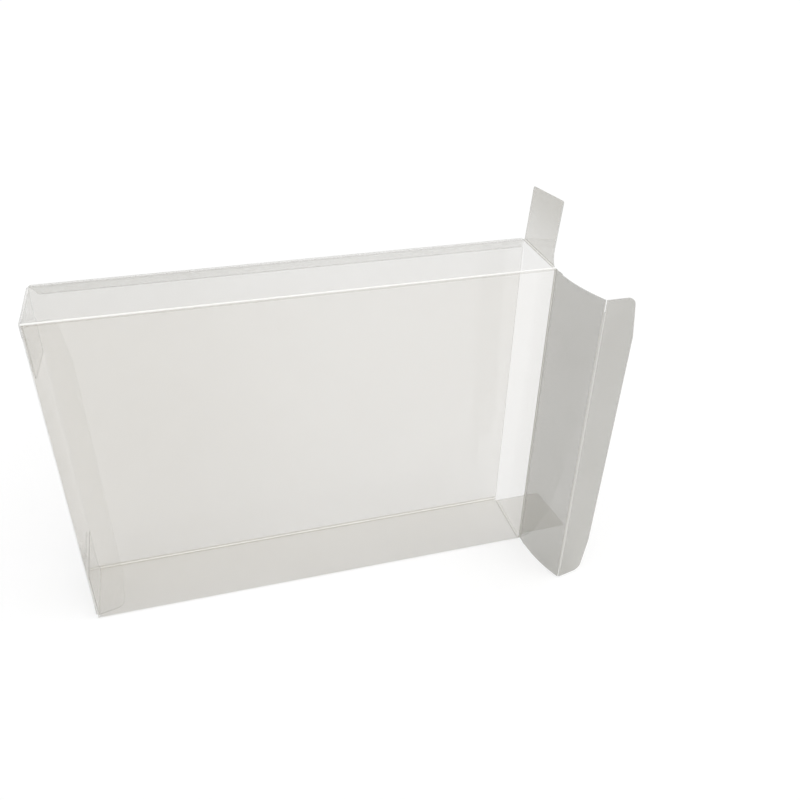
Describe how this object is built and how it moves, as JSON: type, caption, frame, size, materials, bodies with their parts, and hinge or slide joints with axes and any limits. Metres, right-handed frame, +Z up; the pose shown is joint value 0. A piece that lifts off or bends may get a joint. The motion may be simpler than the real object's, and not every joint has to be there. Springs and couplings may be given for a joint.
{
  "type": "game box protector",
  "caption": "Clear folded film sleeve that a boxed game slides into, with a tuck-in lid and dust flaps at each end.",
  "frame": {"origin": "middle of the narrow side that it stands on, at its underside", "axes": "+X out of the open end, -Y to the front wall that carries the open lid, +Z up"},
  "size_m": [0.22, 0.0601, 0.1673],
  "materials": {
    "clear_film": "clear glossy film"
  },
  "bodies": {
    "sleeve": {"front_wall": "clear_film", "back_wall": "clear_film", "top_wall": "clear_film", "bottom_wall": "clear_film", "creases": "clear_film", "glue_flap": "clear_film", "end_upper_dust_flap": "clear_film", "end_lower_dust_flap": "clear_film"},
    "lid": {"lid": "clear_film"},
    "tuck": {"lid_tuck": "clear_film"},
    "upper_dust": {"upper_dust_flap": "clear_film"},
    "lower_dust": {"lower_dust_flap": "clear_film"},
    "end_lid": {"end_lid": "clear_film"}
  },
  "joints": [
    {"name": "lid_hinge", "type": "hinge", "parent": "sleeve", "child": "lid", "pos_m": [0.0975, -0.0153, 0], "axis": [0, 0, 1], "range_deg": [-55, 167]},
    {"name": "tuck_hinge", "type": "hinge", "parent": "lid", "child": "tuck", "pos_m": [0.10423, -0.04443, 0], "axis": [0, 0, 1], "range_deg": [-8.5, 26]},
    {"name": "upper_dust_hinge", "type": "hinge", "parent": "sleeve", "child": "upper_dust", "pos_m": [0.0968, 0, 0.1418], "axis": [0, 1, 0], "range_deg": [-50, 176]},
    {"name": "lower_dust_hinge", "type": "hinge", "parent": "sleeve", "child": "lower_dust", "pos_m": [0.0968, 0, 0.0002], "axis": [0, -1, 0], "range_deg": [0, 90]},
    {"name": "end_lid_hinge", "type": "hinge", "parent": "sleeve", "child": "end_lid", "pos_m": [-0.0975, 0.0153, 0], "axis": [0, 0, -1], "range_deg": [0, 225]}
  ],
  "couplings": [
    {"joint": "tuck_hinge", "follows": "lid_hinge", "ratio": 0.1525}
  ]
}
